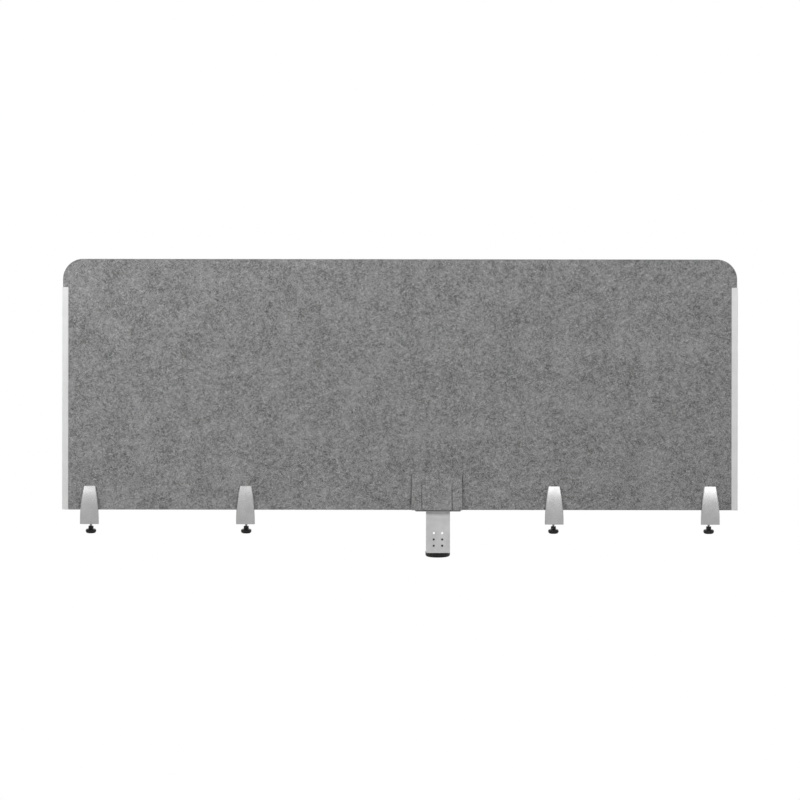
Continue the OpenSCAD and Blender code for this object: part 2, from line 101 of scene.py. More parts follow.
# Knobs. The tables are in millimetres: dish_rim and foot_rim, round the dished underside, are distances in
# from the grip's rim, and the radii run from the dish's middle out to the lower rim, the upper rim, the neck
# and the hub's top.
KNOB_CORE_R = 2 * MM
KNOB_ARC_STEPS = 8
FLUTE_CREASE = 0.12 * MM
CLAMP_KNOB = {
    "hub_r": 6, "hub_h": 7, "bore_r": 2.9, "dish_depth": 0.9, "dish_rim": 7.2, "foot_rim": 6.6,
    "radii": (0, 0.5, 0.4, 5.4, 4, 2.6, 0.6, 0),
    "flutes": 12, "flute_r": 2.2, "flute_depth": 0.7, "sides": 288}
BRACKET_KNOB = {
    "hub_r": 11, "hub_h": 1, "bore_r": 3.9, "dish_depth": 2, "dish_rim": 9, "foot_rim": 7,
    "radii": (0, 1.2, 0.8, 5.5, 1.8, 0.5, 0.4, 0),
    "flutes": 20, "flute_r": 3.4, "flute_depth": 1, "sides": 576}

# Threads: their depth as a share of the pitch, how a vee is stretched and lowered so that crest and root
# are flat, and how far a screw's end faces reach over the root
CLAMP_PITCH = 1 * MM
BRACKET_PITCH = 1.25 * MM
THREAD_SIDES = 40
THREAD_STEPS = 8
THREAD_DEPTH_SHARE = 0.6
CREST_GAIN = 1.35
CREST_DROP = 0.12
THREAD_END = 0.2 * MM

# Camera and stage
CAMERA_DISTANCE = 5.4
CAMERA_LENS = 102.4
CAMERA_SENSOR = 36
CAMERA_REACH = 100
CAMERA_SHIFT = -0.176
CAMERA_ROLL = -0.0012
CAMERA_X = -0.0003
FLOOR_Z = -1.05
FLOOR_R = 12.0
FLOOR_CLEAR_R = 0.9
FLOOR_WHITE_R = 1.5
FLOOR_GREY = 0.8
WORLD_FILL = 0.06

# Materials: the usual range of a noise's value, and how sharply a strand stands out
NOISE_LOW = 0.3
NOISE_HIGH = 0.7
STRAND_CONTRAST = 6.5

# Lamps: name, place, aim, width and height in metres, watts
LAMPS = [
    ("key", (-1.9, -1.4, 1.8), (-0.6, 0, 0.3), 0.3, 0.3, 38),
    ("side", (1.3, -2.4, 2.4), (0.4, 0, 0.3), 0.3, 0.3, 46),
    ("front left", (-1.5, -4.2, 1.5), (-0.5, 0, 0.1), 1.4, 1.4, 11),
    ("front right", (1.3, -4.2, 1.5), (0.5, 0, 0.1), 2.2, 1.4, 28),
    ("rear", (0.6, 3.4, 2.2), (0, 0, 0.25), 6, 3.4, 125),
]


# Shape helpers

def ring_faces(rows, columns):
    """Quads between rows of points, each row a closed ring of columns points."""
    i, j = np.meshgrid(np.arange(rows - 1), np.arange(columns), indexing="ij")
    k = (j + 1) % columns
    corners = (i * columns + j, i * columns + k, (i + 1) * columns + k, (i + 1) * columns + j)
    return np.stack(corners, axis=-1).reshape(-1, 4)


def rounded(points, radii, steps=6):
    """A closed outline with each corner replaced by an arc of its own radius that touches both its sides."""
    corners = np.asarray(points, float)
    arcs = []
    for corner, before, after, r in zip(corners, np.roll(corners, 1, 0), np.roll(corners, -1, 0), radii):
        if r <= 0:
            arcs.append(corner[None, :])
            continue
        a = (before - corner) / np.linalg.norm(before - corner)
        b = (after - corner) / np.linalg.norm(after - corner)
        half = math.acos(np.clip(a @ b, -1, 1)) / 2
        middle = corner + (a + b) / np.linalg.norm(a + b) * r / math.sin(half)
        start = corner + a * r / math.tan(half) - middle
        end = corner + b * r / math.tan(half) - middle
        sweep = math.pi - 2 * half
        t = np.linspace(0, 1, steps + 1)[:, None]
        arcs.append(middle + (np.sin((1 - t) * sweep) * start + np.sin(t * sweep) * end) / math.sin(sweep))
    return np.concatenate(arcs)


def inset_loops(outline, insets):
    """Loops of an anticlockwise outline moved inwards.

    Insets has one row per loop and one distance per side. Where two sides meet, the corner moves so that it
    lies at both distances, and on a straight run it moves square to the side."""
    ahead = np.roll(outline, -1, 0) - outline
    ahead /= np.linalg.norm(ahead, axis=1, keepdims=True)
    out = np.stack([ahead[:, 1], -ahead[:, 0]], axis=1)
    before = np.roll(out, 1, 0)
    c = np.sum(before * out, axis=1)
    straight = np.abs(1 - c * c) < NEARLY_STRAIGHT
    room = np.where(straight, 1, 1 - c * c)
    here = insets
    last = np.roll(insets, 1, 1)
    move_last = np.where(straight, last, (last - here * c) / room)
    move_here = np.where(straight, 0, (here - last * c) / room)
    return outline[None] - move_last[..., None] * before[None] - move_here[..., None] * out[None]


def soft_edge(r, depth):
    """Insets and heights of a slab's side: flat rim, quarter round, upright side, quarter round, flat rim."""
    t = np.linspace(0, math.pi / 2, EDGE_STEPS)
    inset = r * (1 - np.sin(t))
    height = r * (1 - np.cos(t))
    rim = RIM_SHARE * r
    insets = np.concatenate([[r + rim], inset, inset[::-1], [r + rim]])
    heights = np.concatenate([[0], height, depth - height[::-1], [depth]])
    return insets, heights


def slab(outline, r, depth, sharp=(), slant=()):
    """A slab over an outline, as points (u, v, height) and faces.

    Its sides follow soft_edge. Sides named sharp keep their first edge. A slant (side, distance) draws a side
    in evenly over the depth and rounds its edges more."""
    insets, heights = soft_edge(r, depth)
    table = np.repeat(insets[:, None], len(outline), axis=1)
    for side, _ in slant:
        table[:, side] *= SLIT_ROUND
    for side in sharp:
        table[: len(insets) // 2, side] = 0
    for side, distance in slant:
        table[:, side] += distance * heights / depth
    loops = inset_loops(outline, table)
    rows, columns = loops.shape[:2]
    level = np.broadcast_to(heights[:, None, None], (rows, columns, 1))
    points = np.concatenate([loops, level], axis=2).reshape(-1, 3)
    faces = ring_faces(rows, columns).tolist()
    faces.append(list(range(columns))[::-1])
    faces.append(list(range((rows - 1) * columns, rows * columns)))
    return points, faces


def lathe(radius, height, sides):
    """A body of revolution about Z: radius is one value per ring and side, height one value per ring."""
    angle = np.linspace(0, 2 * math.pi, sides, endpoint=False)
    r = np.broadcast_to(radius, (len(height), sides))
    z = np.broadcast_to(height[:, None], r.shape)
    points = np.stack([r * np.cos(angle), r * np.sin(angle), z], axis=-1).reshape(-1, 3)
    faces = ring_faces(len(height), sides).tolist()
    faces.append(list(range(sides))[::-1])
    faces.append(list(range((len(height) - 1) * sides, len(height) * sides)))
    return points, faces


def add_piece(name, points, faces, material, replaced, smooth=SMOOTH_ANGLE):
    """Makes a closed piece that stands for one CAD node, rides on its body and takes the given material."""
    mesh = bpy.data.meshes.new(name)
    mesh.from_pydata(np.asarray(points).tolist(), [], faces)
    shell = bmesh.new()
    shell.from_mesh(mesh)
    bmesh.ops.remove_doubles(shell, verts=shell.verts, dist=TINY)
    bmesh.ops.recalc_face_normals(shell, faces=shell.faces)
    shell.to_mesh(mesh)
    shell.free()
    place(name, mesh, material, replaced, smooth)


def place(name, mesh, material, replaced, smooth):
    """Links a mesh as a piece in place of a CAD node; edges sharper than smooth, in degrees, stay hard."""
    mesh.materials.clear()
    mesh.materials.append(material)
    mesh.shade_smooth()
    mesh.set_sharp_from_angle(angle=math.radians(smooth))
    piece = bpy.data.objects.new(name, mesh)
    bpy.context.scene.collection.objects.link(piece)
    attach(piece, NODES[replaced]["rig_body"])
    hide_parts(replaced)
    return piece


def softened(node, name, width, material):
    """A merged copy of a rigid CAD node whose sharp edges get a narrow round."""
    mesh = NODES[node].data.copy()
    for attribute in [a for a in mesh.attributes if a.name == "custom_normal"]:
        mesh.attributes.remove(attribute)
    shell = bmesh.new()
    shell.from_mesh(mesh)
    bmesh.ops.remove_doubles(shell, verts=shell.verts, dist=TINY)
    bmesh.ops.dissolve_limit(
        shell, angle_limit=math.radians(FLAT_ANGLE), verts=shell.verts, edges=shell.edges)
    shell.to_mesh(mesh)
    shell.free()
    piece = place(name, mesh, material, node, CAD_SMOOTH_ANGLE)
    bevel = piece.modifiers.new("soft edges", "BEVEL")
    bevel.width = width
    bevel.segments = BEVEL_SEGMENTS
    bevel.limit_method = "ANGLE"
    bevel.angle_limit = math.radians(BEVEL_ANGLE)
    bevel.use_clamp_overlap = True
    bevel.harden_normals = True


# Material helpers

def new_node(tree, kind, **values):
    """Adds a shader node; values that name an input set it, and the others set the node's own settings."""
    node = tree.nodes.new(kind)
    for key, value in values.items():
        words = key.replace("_", " ")
        sockets = [s for s in node.inputs if s.name.lower() == words and s.enabled]
        if sockets:
            sockets[0].default_value = value
        else:
            setattr(node, key, value)
    return node


def new_group(name, inputs, outputs):
    """An empty shader node group with the named inputs and outputs."""
    tree = bpy.data.node_groups.new(name, "ShaderNodeTree")
    for label, kind, value in inputs:
        socket = tree.interface.new_socket(name=label, in_out="INPUT", socket_type="NodeSocket" + kind)
        if value is not None:
            socket.default_value = value
    for label, kind in outputs:
        tree.interface.new_socket(name=label, in_out="OUTPUT", socket_type="NodeSocket" + kind)
    return tree, tree.nodes.new("NodeGroupInput"), tree.nodes.new("NodeGroupOutput")


def use_group(tree, group, **values):
    """Places a node group in a material with its own values."""
    node = tree.nodes.new("ShaderNodeGroup")
    node.node_tree = group
    for key, value in values.items():
        node.inputs[key.replace("_", " ").capitalize()].default_value = value
    return node


def new_material(name, **values):
    """A material with one Principled shader whose constant inputs are set by name."""
    material = bpy.data.materials.new(name)
    material.use_nodes = True
    tree = material.node_tree
    shader = tree.nodes["Principled BSDF"]
    for key, value in values.items():
        shader.inputs[key.replace("_", " ").title().replace("Ior", "IOR")].default_value = value
    coordinates = tree.nodes.new("ShaderNodeTexCoord")
    return material, tree, shader, coordinates.outputs["Object"]


def grey(value):
    """A neutral colour."""
    return (value, value, value, 1.0)


def math_node(tree, operation, a, b, clamp=False):
    """A Math node on two sockets or numbers."""
    node = tree.nodes.new("ShaderNodeMath")
    node.operation = operation
    node.use_clamp = clamp
    for socket, value in zip(node.inputs, (a, b)):
        if isinstance(value, (int, float)):
            socket.default_value = value
        else:
            tree.links.new(value, socket)
    return node.outputs[0]


def ramp(tree, value, low, high, to_low=0.0, to_high=1.0):
    """Maps low..high of a value to to_low..to_high, smoothly, and holds it beyond them."""
    node = new_node(tree, "ShaderNodeMapRange", interpolation_type="SMOOTHSTEP")
    for key, number in (("From Min", low), ("From Max", high), ("To Min", to_low), ("To Max", to_high)):
        node.inputs[key].default_value = number
    tree.links.new(value, node.inputs["Value"])
    return node.outputs["Result"]


def spread(tree, value, to_low=0.0, to_high=1.0):
    """Spreads a noise's usual range over to_low..to_high."""
    return ramp(tree, value, NOISE_LOW, NOISE_HIGH, to_low, to_high)


def noise(tree, vector, scale, detail, roughness, distortion=0.0):
    """A Noise texture's value."""
    node = new_node(tree, "ShaderNodeTexNoise", scale=scale, detail=detail, roughness=roughness,
                    distortion=distortion)
    tree.links.new(vector, node.inputs["Vector"])
    return node.outputs["Fac"]


def mix_colour(tree, share, a, b):
    """A blend of two colours, each a socket or a constant."""
    node = tree.nodes.new("ShaderNodeMix")
    node.data_type = "RGBA"
    for socket, value in ((node.inputs["Factor"], share), (node.inputs[6], a), (node.inputs[7], b)):
        if isinstance(value, (int, float, tuple)):
            socket.default_value = value
        else:
            tree.links.new(value, socket)
    return node.outputs[2]


def bump(tree, height, distance, shader, strength):
    """Feeds a height to the shader's normal."""
    node = new_node(tree, "ShaderNodeBump", strength=strength)
    node.inputs["Distance"].default_value = distance
    tree.links.new(height, node.inputs["Height"])
    tree.links.new(node.outputs["Normal"], shader.inputs["Normal"])


# Shared effects

def strand_group():
    """Thin curled strands that run at one angle in the XZ plane: noise stretched along that angle."""
    tree, given, result = new_group(
        "felt strands",
        [("Vector", "Vector", None), ("Angle", "Float", 0.0), ("Length", "Float", 60.0),
         ("Width", "Float", 900.0), ("Cover", "Float", 0.6), ("Curl", "Float", 0.004)],
        [("Mask", "Float")])
    link = tree.links.new
    curl = new_node(tree, "ShaderNodeTexNoise", scale=120.0, detail=2.0)
    link(given.outputs["Vector"], curl.inputs["Vector"])
    centred = new_node(tree, "ShaderNodeVectorMath", operation="SUBTRACT")
    centred.inputs[1].default_value = (0.5, 0.5, 0.5)
    link(curl.outputs["Color"], centred.inputs[0])
    swing = new_node(tree, "ShaderNodeVectorMath", operation="SCALE")
    link(centred.outputs[0], swing.inputs[0])
    link(given.outputs["Curl"], swing.inputs["Scale"])
    moved = new_node(tree, "ShaderNodeVectorMath", operation="ADD")
    link(given.outputs["Vector"], moved.inputs[0])
    link(swing.outputs[0], moved.inputs[1])
    turned = new_node(tree, "ShaderNodeVectorRotate", rotation_type="Y_AXIS")
    link(moved.outputs[0], turned.inputs["Vector"])
    link(given.outputs["Angle"], turned.inputs["Angle"])
    stretch = tree.nodes.new("ShaderNodeCombineXYZ")
    link(given.outputs["Length"], stretch.inputs["X"])
    link(given.outputs["Width"], stretch.inputs["Y"])
    link(given.outputs["Width"], stretch.inputs["Z"])
    scaled = new_node(tree, "ShaderNodeVectorMath", operation="MULTIPLY")
    link(turned.outputs[0], scaled.inputs[0])
    link(stretch.outputs[0], scaled.inputs[1])
    strands = new_node(tree, "ShaderNodeTexNoise", scale=1.0, detail=1.0)
    link(scaled.outputs[0], strands.inputs["Vector"])
    above = math_node(tree, "SUBTRACT", strands.outputs["Fac"], given.outputs["Cover"])
    link(math_node(tree, "MULTIPLY", above, STRAND_CONTRAST, clamp=True), result.inputs["Mask"])
    return tree


def grain_group():
    """Fine even grain of a coated or moulded surface: two noises, as a height and as a slow variation."""
    tree, given, result = new_group(
        "surface grain", [("Vector", "Vector", None), ("Scale", "Float", 900.0)],
        [("Height", "Float"), ("Variation", "Float")])
    fine = new_node(tree, "ShaderNodeTexNoise", detail=3.0, roughness=0.6)
    slow = new_node(tree, "ShaderNodeTexNoise", scale=35.0, detail=3.0, roughness=0.55)
    for node in (fine, slow):
        tree.links.new(given.outputs["Vector"], node.inputs["Vector"])
    tree.links.new(given.outputs["Scale"], fine.inputs["Scale"])
    tree.links.new(fine.outputs["Fac"], result.inputs["Height"])
    tree.links.new(slow.outputs["Fac"], result.inputs["Variation"])
    return tree


def wear_group():
    """Rubbed edges: where a rounded normal leaves the true one, broken up by noise."""
    tree, given, result = new_group(
        "edge wear",
        [("Vector", "Vector", None), ("Reach", "Float", 0.0006), ("Breakup", "Float", 400.0),
         ("Amount", "Float", 1.0)],
        [("Mask", "Float")])
    link = tree.links.new
    soft = new_node(tree, "ShaderNodeBevel", samples=4)
    link(given.outputs["Reach"], soft.inputs["Radius"])
    true = tree.nodes.new("ShaderNodeNewGeometry")
    match = new_node(tree, "ShaderNodeVectorMath", operation="DOT_PRODUCT")
    link(soft.outputs["Normal"], match.inputs[0])
    link(true.outputs["Normal"], match.inputs[1])
    edge = ramp(tree, match.outputs["Value"], 0.995, 0.9)
    spots = new_node(tree, "ShaderNodeTexNoise", detail=3.0, roughness=0.7)
    link(given.outputs["Vector"], spots.inputs["Vector"])
    link(given.outputs["Breakup"], spots.inputs["Scale"])
    broken = math_node(tree, "MULTIPLY", edge, ramp(tree, spots.outputs["Fac"], 0.4, 0.65))
    link(math_node(tree, "MULTIPLY", broken, given.outputs["Amount"], clamp=True), result.inputs["Mask"])
    return tree


def dust_group():
    """Dust that settles on upward faces, patchy with noise."""
    tree, given, result = new_group(
        "settled dust", [("Vector", "Vector", None), ("Amount", "Float", 0.3)], [("Mask", "Float")])
    link = tree.links.new
    geometry = tree.nodes.new("ShaderNodeNewGeometry")
    parts = tree.nodes.new("ShaderNodeSeparateXYZ")
    link(geometry.outputs["Normal"], parts.inputs[0])
    patches = new_node(tree, "ShaderNodeTexNoise", scale=220.0, detail=4.0, roughness=0.65)
    link(given.outputs["Vector"], patches.inputs["Vector"])
    lying = math_node(tree, "MULTIPLY", ramp(tree, parts.outputs["Z"], 0.3, 1.0),
                      ramp(tree, patches.outputs["Fac"], 0.35, 0.7))
    link(math_node(tree, "MULTIPLY", lying, given.outputs["Amount"], clamp=True), result.inputs["Mask"])
    return tree


STRANDS = strand_group()
GRAIN = grain_group()
WEAR = wear_group()
DUST = dust_group()


def strands(tree, vector, angle, length, width, cover, curl):
    """One layer of strands in a material: their angle, how long and fine they are, how sparse, how curled."""
    node = use_group(tree, STRANDS, angle=angle, length=length, width=width, cover=cover, curl=curl)
    tree.links.new(vector, node.inputs["Vector"])
    return node.outputs["Mask"]


def grain(tree, vector, scale):
    """Grain height and slow variation in a material."""
    node = use_group(tree, GRAIN, scale=scale)
    tree.links.new(vector, node.inputs["Vector"])
    return node.outputs["Height"], node.outputs["Variation"]


def wear(tree, vector, reach, amount):
    """Edge wear mask in a material."""
    node = use_group(tree, WEAR, reach=reach, amount=amount)
    tree.links.new(vector, node.inputs["Vector"])
    return node.outputs["Mask"]


def dust(tree, vector, amount):
    """Dust mask in a material."""
    node = use_group(tree, DUST, amount=amount)
    tree.links.new(vector, node.inputs["Vector"])
    return node.outputs["Mask"]


# Materials

def felt_material():
    """Pressed heather felt: mottled grey with light and dark fibres in every direction and a soft nap."""
    material, tree, shader, place_at = new_material(
        "heather felt", roughness=0.95, sheen_weight=0.12, sheen_roughness=0.6, specular_ior_level=0.2)
    blotch = noise(tree, place_at, scale=14.0, detail=3.0, roughness=0.65)
    tuft = noise(tree, place_at, scale=70.0, detail=7.0, roughness=0.86, distortion=0.6)
    tone = math_node(tree, "ADD", math_node(tree, "MULTIPLY", blotch, 0.26),
                     math_node(tree, "MULTIPLY", tuft, 0.72))
    tone = ramp(tree, tone, 0.35, 0.63)
    base = mix_colour(tree, tone, grey(0.025), grey(0.32))
    wisps = []
    for k, angle in enumerate((0.35, 1.25, 2.2, 2.9)):
        wisps.append(strands(tree, place_at, angle, length=45.0 + 9 * k, width=260.0 + 30 * k, cover=0.57,
                             curl=0.011))
    light = math_node(tree, "MAXIMUM", wisps[0], wisps[2])
    dark = math_node(tree, "MAXIMUM", wisps[1], wisps[3])
    base = mix_colour(tree, math_node(tree, "MULTIPLY", light, 0.7), base, grey(0.42))
    base = mix_colour(tree, math_node(tree, "MULTIPLY", dark, 0.65), base, grey(0.07))
    pale = []
    deep = []
    for k in range(3):
        pale.append(strands(tree, place_at, 0.1 + 1.05 * k, length=90.0, width=1500.0 + 200 * k, cover=0.56,
                            curl=0.007))
        deep.append(strands(tree, place_at, 0.6 + 1.05 * k, length=110.0, width=1700.0 + 150 * k, cover=0.56,
                            curl=0.007))
    fine_light = math_node(tree, "MAXIMUM", pale[0], math_node(tree, "MAXIMUM", pale[1], pale[2]))
    fine_dark = math_node(tree, "MAXIMUM", deep[0], math_node(tree, "MAXIMUM", deep[1], deep[2]))
    base = mix_colour(tree, math_node(tree, "MULTIPLY", fine_dark, 0.8), base, grey(0.04))
    base = mix_colour(tree, math_node(tree, "MULTIPLY", fine_light, 0.75), base, grey(0.6))
    tree.links.new(base, shader.inputs["Base Color"])
    pile = math_node(tree, "ADD", math_node(tree, "MULTIPLY", tuft, 0.8),
                     math_node(tree, "SUBTRACT", fine_light, math_node(tree, "MULTIPLY", fine_dark, 0.6)))
    bump(tree, pile, 0.25 * MM, shader, strength=0.7)
    return material


def trim_material():
    """Satin white powder coat with a faint orange peel, lengthwise drawing marks and rubbed edges."""
    material, tree, shader, place_at = new_material("satin white coat", roughness=0.42)
    height, variation = grain(tree, place_at, scale=700.0)
    drawn = new_node(tree, "ShaderNodeMapping")
    drawn.inputs["Scale"].default_value = (1.0, 1.0, 0.01)
    tree.links.new(place_at, drawn.inputs["Vector"])
    lines = noise(tree, drawn.outputs[0], scale=1400.0, detail=3.0, roughness=0.7)
    tone = math_node(tree, "ADD", math_node(tree, "MULTIPLY", lines, 0.5),
                     math_node(tree, "MULTIPLY", variation, 0.5))
    base = mix_colour(tree, spread(tree, tone), grey(0.66), grey(0.74))
    rubbed = wear(tree, place_at, reach=0.5 * MM, amount=0.5)
    base = mix_colour(tree, rubbed, base, grey(0.5))
    base = mix_colour(tree, dust(tree, place_at, amount=0.35), base, (0.5, 0.49, 0.47, 1.0))
    tree.links.new(base, shader.inputs["Base Color"])
    tree.links.new(spread(tree, variation, 0.36, 0.48), shader.inputs["Roughness"])
    bump(tree, height, 0.03 * MM, shader, strength=0.5)
    return material


def cast_material():
    """Satin die-cast metal: bead-blasted grain, slightly uneven sheen and bright rubbed edges."""
    material, tree, shader, place_at = new_material("satin casting", metallic=1.0)
    height, variation = grain(tree, place_at, scale=1300.0)
    cloud = noise(tree, place_at, scale=60.0, detail=4.0, roughness=0.6)
    base = mix_colour(tree, spread(tree, variation), grey(0.36), grey(0.41))
    base = mix_colour(tree, wear(tree, place_at, reach=0.5 * MM, amount=0.8), base, grey(0.6))
    base = mix_colour(tree, dust(tree, place_at, amount=0.25), base, grey(0.33))
    tree.links.new(base, shader.inputs["Base Color"])
    tree.links.new(spread(tree, cloud, 0.24, 0.3), shader.inputs["Roughness"])
    bump(tree, height, 0.008 * MM, shader, strength=0.3)
    return material


def plate_material():
    """Light grey textured powder coat on sheet metal, rubbed at its edges and holes."""
    material, tree, shader, place_at = new_material("light grey coat", roughness=0.5)
    height, variation = grain(tree, place_at, scale=520.0)
    base = mix_colour(tree, spread(tree, variation), grey(0.52), grey(0.6))
    base = mix_colour(tree, wear(tree, place_at, reach=0.6 * MM, amount=0.7), base, grey(0.66))
    base = mix_colour(tree, dust(tree, place_at, amount=0.3), base, grey(0.36))
    tree.links.new(base, shader.inputs["Base Color"])
    tree.links.new(spread(tree, height, 0.4, 0.58), shader.inputs["Roughness"])
    bump(tree, height, 0.06 * MM, shader, strength=0.8)
    return material


def steel_material():
    """Zinc-plated steel: turning marks, slight tarnish and bright thread crests."""
    material, tree, shader, place_at = new_material("plated steel", metallic=1.0)
    height, variation = grain(tree, place_at, scale=1500.0)
    base = mix_colour(tree, spread(tree, variation), grey(0.36), grey(0.52))
    base = mix_colour(tree, wear(tree, place_at, reach=0.3 * MM, amount=0.9), base, grey(0.72))
    tree.links.new(base, shader.inputs["Base Color"])
    tree.links.new(spread(tree, variation, 0.28, 0.42), shader.inputs["Roughness"])
    bump(tree, height, 0.01 * MM, shader, strength=0.5)
    return material


def plastic_material():
    """Black moulded plastic with a fine spark texture, greyed where hands rub it."""
    material, tree, shader, place_at = new_material(
        "black moulded plastic", roughness=0.45, specular_ior_level=0.28)
    height, variation = grain(tree, place_at, scale=1100.0)
    base = mix_colour(tree, spread(tree, variation), grey(0.004), grey(0.007))
    base = mix_colour(tree, wear(tree, place_at, reach=0.6 * MM, amount=0.6), base, grey(0.035))
    base = mix_colour(tree, dust(tree, place_at, amount=0.2), base, grey(0.08))
    tree.links.new(base, shader.inputs["Base Color"])
    tree.links.new(spread(tree, height, 0.38, 0.56), shader.inputs["Roughness"])
    bump(tree, height, 0.05 * MM, shader, strength=0.8)
    return material


def rubber_material():
    """Matt black rubber and foam with fine pores."""
    material, tree, shader, place_at = new_material("matt rubber", roughness=0.85)
    height, variation = grain(tree, place_at, scale=800.0)
    base = mix_colour(tree, spread(tree, variation), grey(0.012), grey(0.022))
    base = mix_colour(tree, ramp(tree, height, 0.6, 0.72), base, grey(0.006))
    base = mix_colour(tree, dust(tree, place_at, amount=0.2), base, grey(0.12))
    tree.links.new(base, shader.inputs["Base Color"])
    tree.links.new(spread(tree, variation, 0.78, 0.92), shader.inputs["Roughness"])
    bump(tree, height, 0.1 * MM, shader, strength=0.8)
    return material


def oxide_material():
    """Black oxide on steel bolts, worn to grey at the edges."""
    material, tree, shader, place_at = new_material("black oxide steel", metallic=1.0)
    height, variation = grain(tree, place_at, scale=1400.0)
    base = mix_colour(tree, spread(tree, variation), grey(0.03), grey(0.05))
    base = mix_colour(tree, wear(tree, place_at, reach=0.3 * MM, amount=0.8), base, grey(0.28))
    tree.links.new(base, shader.inputs["Base Color"])
    tree.links.new(spread(tree, variation, 0.32, 0.46), shader.inputs["Roughness"])
    bump(tree, height, 0.015 * MM, shader, strength=0.5)
    return material


FELT = felt_material()
TRIM = trim_material()
CAST = cast_material()
PLATE = plate_material()
STEEL = steel_material()
PLASTIC = plastic_material()
RUBBER = rubber_material()
OXIDE = oxide_material()


# Felt pieces

def joint_place(name):
    """Where a joint's axis lies at rest."""
    return [Vector(j["pos_m"]) for j in frame["joints"] if j["name"] == name][0]


def front_lean(node):
    """How far a felt node's front face leans out from upright, read from its largest forward triangle."""
    forward = [p for p in NODES[node].data.polygons if p.normal.y < -FORWARD_LIMIT]
    widest = max(forward, key=lambda p: p.area)
    return math.atan2(widest.normal.z, -widest.normal.y)


def upright(points, front_y):
    """Slab points over an outline in X and Z, set upright with their first face towards -Y."""
    return np.stack([points[:, 0], front_y + points[:, 2], points[:, 1]], axis=1)


def lean(points, hinge, angle):
    """Points turned about a line along X through the hinge, so that what hangs below it swings towards -Y."""
    y = points[:, 1] - hinge.y
    z = points[:, 2] - hinge.z
    turned_y = hinge.y + y * math.cos(angle) + z * math.sin(angle)
    turned_z = hinge.z - y * math.sin(angle) + z * math.cos(angle)
    return np.stack([points[:, 0], turned_y, turned_z], axis=1)


def add_felt_panel():
    """The panel: its outline extruded, with the flaps' cut-out in its lower edge.

    The cut-out's two walls lean towards its middle, and its upper side is the flap's crease."""
    low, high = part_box("felt_panel")
    crease = low.z + FLAP_H
    left = FLAP_X - FLAP_W / 2
    right = FLAP_X + FLAP_W / 2
    outline = [(low.x, low.z), (left, low.z), (left, crease), (right, crease), (right, low.z),
               (high.x, low.z), (high.x, high.z), (low.x, high.z)]
    radii = [0, 0, 0, 0, 0, 0, FELT_CORNER_R, FELT_CORNER_R]
    slant = [(1, -SLIT_SLANT), (3, -SLIT_SLANT)]
    rim = rounded(outline, radii, FELT_CORNER_STEPS)
    points, faces = slab(rim, FELT_EDGE, high.y - low.y, sharp=[2], slant=slant)
    add_piece("felt_board", upright(points, low.y), faces, FELT, "felt_panel")


def add_outer_flap(low, depth, hinge, angle):
    """The outer flap: a tongue with the inner flap's cut-out, hung from the panel's crease."""
    half = FLAP_W / 2 - SLIT_W
    cut_half = INNER_FLAP_W / 2
    crease = low.z + FLAP_H
    inner_crease = low.z + INNER_FLAP_H
    outline = [(FLAP_X - half, crease), (FLAP_X - half, low.z), (FLAP_X - cut_half, low.z),
               (FLAP_X - cut_half, inner_crease), (FLAP_X + cut_half, inner_crease),
               (FLAP_X + cut_half, low.z), (FLAP_X + half, low.z), (FLAP_X + half, crease)]
    slant = [(0, SLIT_SLANT), (2, -SLIT_SLANT), (4, -SLIT_SLANT), (6, SLIT_SLANT)]
    points, faces = slab(np.array(outline), FELT_EDGE, depth, sharp=[3, 7], slant=slant)
    add_piece("felt_outer_flap", lean(upright(points, low.y), hinge, angle), faces, FELT, "outer_flap")


def add_inner_flap(low, depth, hinge, angle, outer_hinge, outer_angle):
    """The inner flap: a plain tongue hung from the outer flap's crease."""
    half = INNER_FLAP_W / 2 - SLIT_W
    crease = low.z + INNER_FLAP_H
    left = FLAP_X - half
    right = FLAP_X + half
    outline = [(left, crease), (left, low.z), (right, low.z), (right, crease)]
    slant = [(0, SLIT_SLANT), (2, SLIT_SLANT)]
    points, faces = slab(np.array(outline), FELT_EDGE, depth, sharp=[3], slant=slant)
    hung = lean(upright(points, low.y), outer_hinge, outer_angle)
    add_piece("felt_inner_flap", lean(hung, hinge, angle), faces, FELT, "inner_flap")


def add_felt():
    """Panel and flaps."""
    add_felt_panel()
    low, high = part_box("felt_panel")
    depth = high.y - low.y
    outer_hinge = joint_place("outer_flap_hinge")
    inner_hinge = joint_place("inner_flap_hinge")
    outer_angle = front_lean("outer_flap")
    inner_angle = front_lean("inner_flap") - outer_angle
    add_outer_flap(low, depth, outer_hinge, outer_angle)
    add_inner_flap(low, depth, inner_hinge, inner_angle, outer_hinge, outer_angle)


# Edge trims

def add_trim(node, side):
    """A trim: a U section with round outer corners and softened lips, carried up along the felt's end."""
    low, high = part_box(node)
    felt_low, felt_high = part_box("felt_panel")
    outer = high.x if side > 0 else -low.x
    lip = -high.x if side < 0 else low.x
    end = felt_high.x
    section = [(lip, low.y), (outer, low.y), (outer, high.y), (lip, high.y), (lip, felt_high.y),
               (end, felt_high.y), (end, felt_low.y), (lip, felt_low.y)]
    outline = rounded(section, np.array(TRIM_RADII) * MM)
    outline[:, 0] *= side
    if side < 0:
        outline = outline[::-1]
    points, faces = slab(outline, TRIM_END_R, high.z - low.z)
    points[:, 2] += low.z
    add_piece(node.replace("edge_trim", "trim_channel"), points, faces, TRIM, node)


# Knobs and screws

